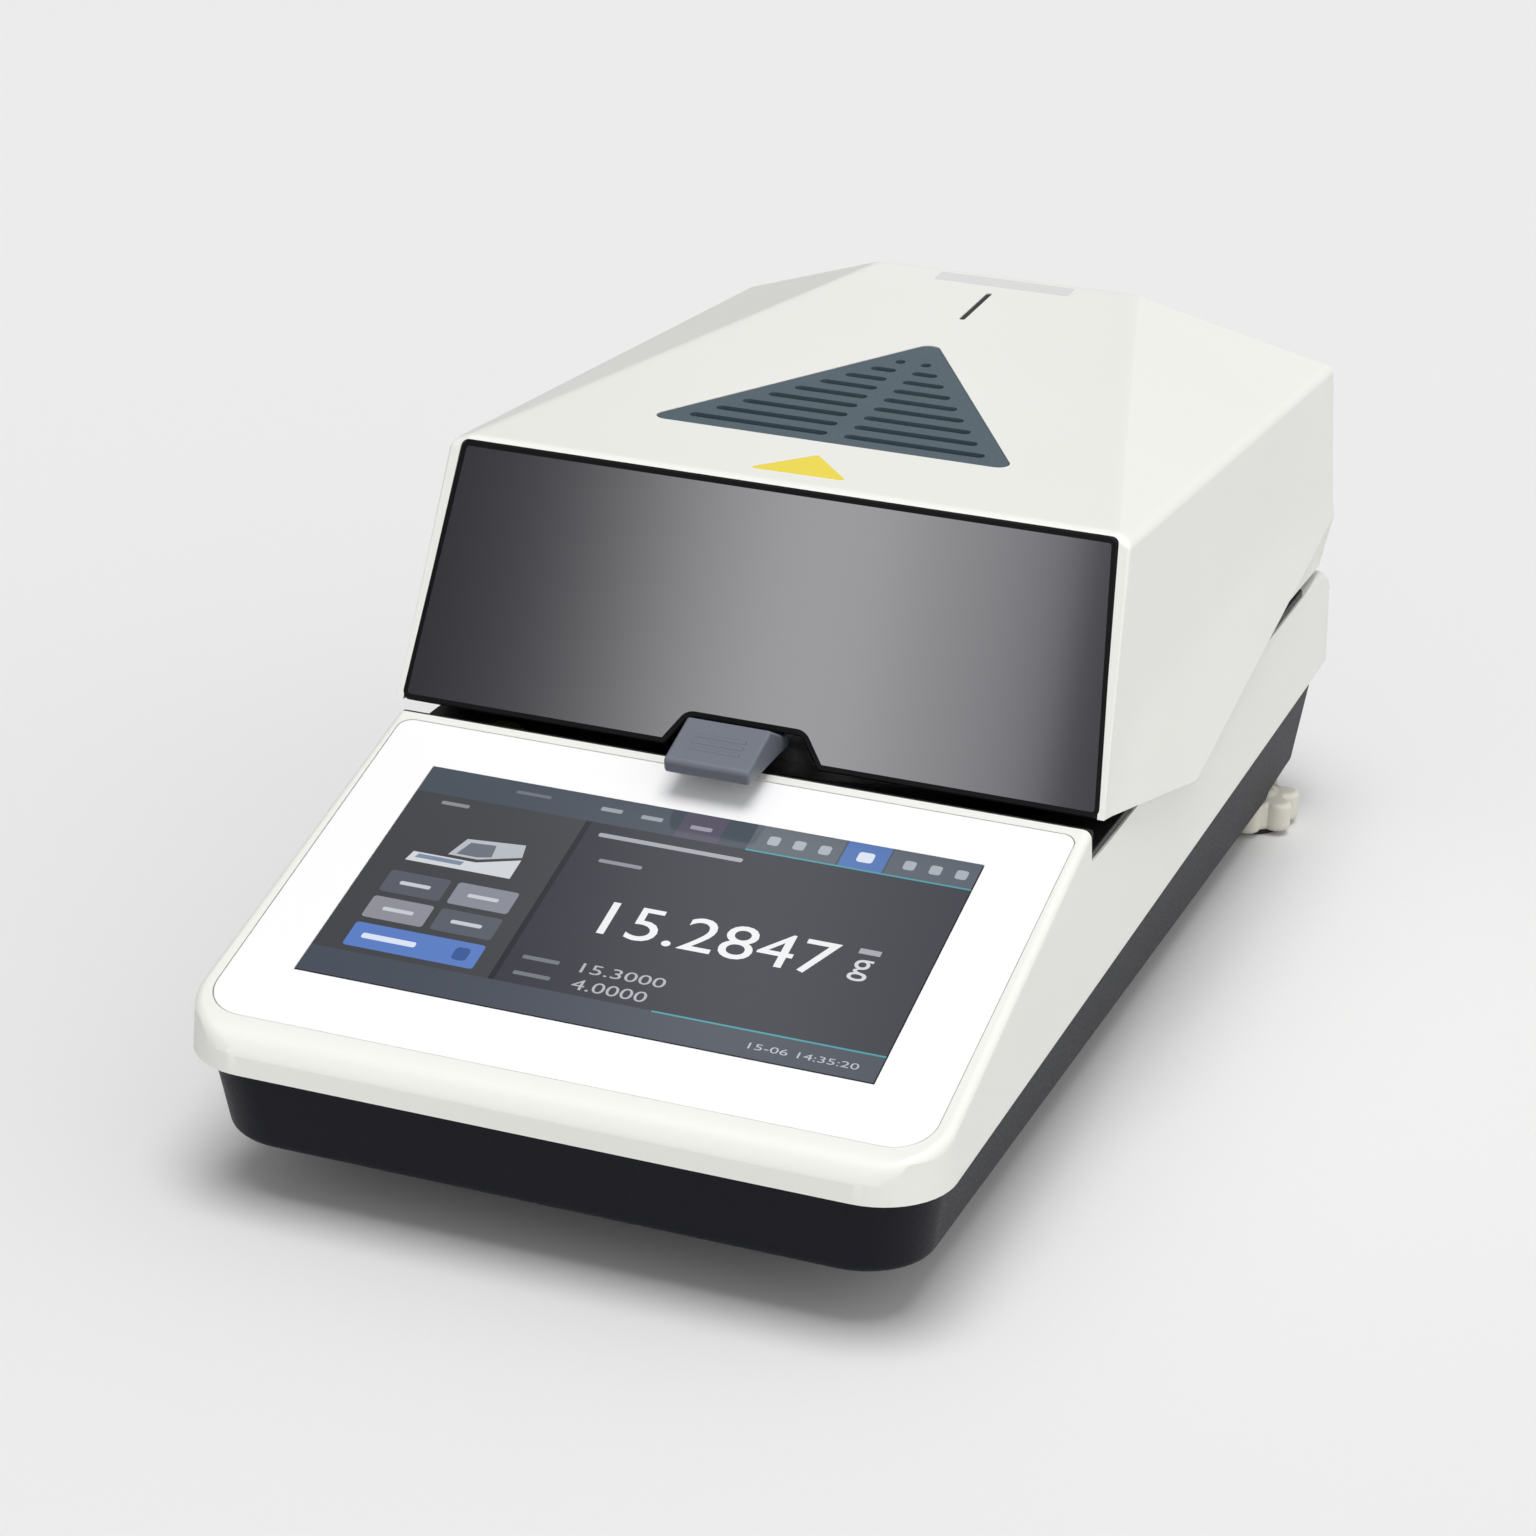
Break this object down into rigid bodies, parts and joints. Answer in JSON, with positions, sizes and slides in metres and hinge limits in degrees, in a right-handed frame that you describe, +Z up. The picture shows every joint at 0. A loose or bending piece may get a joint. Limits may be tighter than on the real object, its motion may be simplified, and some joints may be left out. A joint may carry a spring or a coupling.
{
  "type": "moisture analyzer",
  "caption": "Bench halogen moisture analyzer with a sloping touch panel, a faceted hinged heater lid with a triangular vent, a weighing pan inside and levelling feet.",
  "frame": {"origin": "middle of the bounding box at the table surface under the feet", "axes": "+Z up, front panel along -Y, connectors along +Y, +X to the right as seen from the front"},
  "size_m": [0.209, 0.409, 0.1732],
  "materials": {
    "white_abs": "fine satin moulded",
    "overlay_white": "smooth printed front glass",
    "screen": "glossy touch glass",
    "steel_sheet": "brushed sheet",
    "dark_tub": "moulded satin",
    "zinc_screw": "zinc plated",
    "rubber_black": "matt rubber",
    "brass": "turned",
    "ivory_plastic": "moulded",
    "black_plastic": "moulded",
    "vial_glass": "clear with tinted liquid",
    "pan_aluminium": "pressed foil dish",
    "cell_aluminium": "machined",
    "board_green": "circuit board",
    "window_glass": "dark tinted",
    "grey_plastic": "moulded",
    "grille_grey": "powder coated",
    "reflector_metal": "polished",
    "lamp_glass": "quartz",
    "ceramic": "ceramic",
    "clear_glass": "heat resistant glass"
  },
  "bodies": {
    "base": {"upper_casing": "white_abs", "display_overlay": "overlay_white", "display_screen": "screen", "display_bracket": "steel_sheet", "base_tub": "dark_tub", "casing_screws": "zinc_screw", "front_feet": "rubber_black", "foot_insert_right": "brass", "foot_insert_left": "brass", "chamber_tray": "black_plastic", "level_vial": "vial_glass", "heat_shield": "steel_sheet", "draft_shield": "steel_sheet", "pan_support": "steel_sheet", "load_stem": "steel_sheet", "weighing_cell": "cell_aluminium", "cell_plate": "cell_aluminium", "main_board": "board_green", "power_supply": "black_plastic", "rear_panel": "black_plastic", "power_inlet": "black_plastic", "switch_housing": "black_plastic", "usb_port": "steel_sheet", "serial_port": "steel_sheet", "lid_motor": "steel_sheet", "lid_damper": "steel_sheet", "hinge_ear_right": "cell_aluminium", "hinge_ear_left": "cell_aluminium"},
    "lid": {"lid_shell": "white_abs", "lid_window": "window_glass", "lid_handle": "grey_plastic", "vent_grille": "grille_grey", "lid_plate": "steel_sheet", "reflector": "reflector_metal", "halogen_lamp": "lamp_glass", "lamp_holders": "ceramic", "guard_glass": "clear_glass", "glass_retainer": "steel_sheet", "temperature_sensor": "steel_sheet", "hinge_shaft_right": "steel_sheet", "hinge_shaft_left": "steel_sheet", "hinge_arm_right": "steel_sheet", "hinge_arm_left": "steel_sheet"},
    "handler": {"pan_handler": "steel_sheet"},
    "pan": {"sample_pan": "pan_aluminium"},
    "rocker": {"power_rocker": "black_plastic"},
    "foot_slide_right": {"foot_pad_right": "rubber_black"},
    "foot_wheel_right": {"levelling_wheel_right": "ivory_plastic"},
    "foot_slide_left": {"foot_pad_left": "rubber_black"},
    "foot_wheel_left": {"levelling_wheel_left": "ivory_plastic"}
  },
  "joints": [
    {"name": "lid_hinge", "type": "hinge", "parent": "base", "child": "lid", "pos_m": [0, 0.1795, 0.089], "axis": [-1, 0, 0], "range_deg": [0, 65]},
    {"name": "handler_lift", "type": "slide", "parent": "base", "child": "handler", "axis": [0, 0, 1], "range_m": [0, 0.004]},
    {"name": "pan_lift", "type": "slide", "parent": "handler", "child": "pan", "axis": [0, 0, 1], "range_m": [0, 0.0018]},
    {"name": "power_switch", "type": "hinge", "parent": "base", "child": "rocker", "pos_m": [0.02, 0.1945, 0.0335], "axis": [1, 0, 0], "range_deg": [0, 12]},
    {"name": "foot_right_travel", "type": "slide", "parent": "base", "child": "foot_slide_right", "axis": [0, 0, -1], "range_m": [0, 0.006]},
    {"name": "foot_right_turn", "type": "hinge", "parent": "foot_slide_right", "child": "foot_wheel_right", "pos_m": [0.0845, 0.1725, 0.006], "axis": [0, 0, 1], "range_deg": [0, 1720]},
    {"name": "foot_left_travel", "type": "slide", "parent": "base", "child": "foot_slide_left", "axis": [0, 0, -1], "range_m": [0, 0.006]},
    {"name": "foot_left_turn", "type": "hinge", "parent": "foot_slide_left", "child": "foot_wheel_left", "pos_m": [-0.0845, 0.1725, 0.006], "axis": [0, 0, 1], "range_deg": [0, 1720]}
  ],
  "couplings": [
    {"joint": "foot_right_travel", "follows": "foot_right_turn", "m_per_rad": 0.00019894},
    {"joint": "foot_left_travel", "follows": "foot_left_turn", "m_per_rad": 0.00019894}
  ]
}
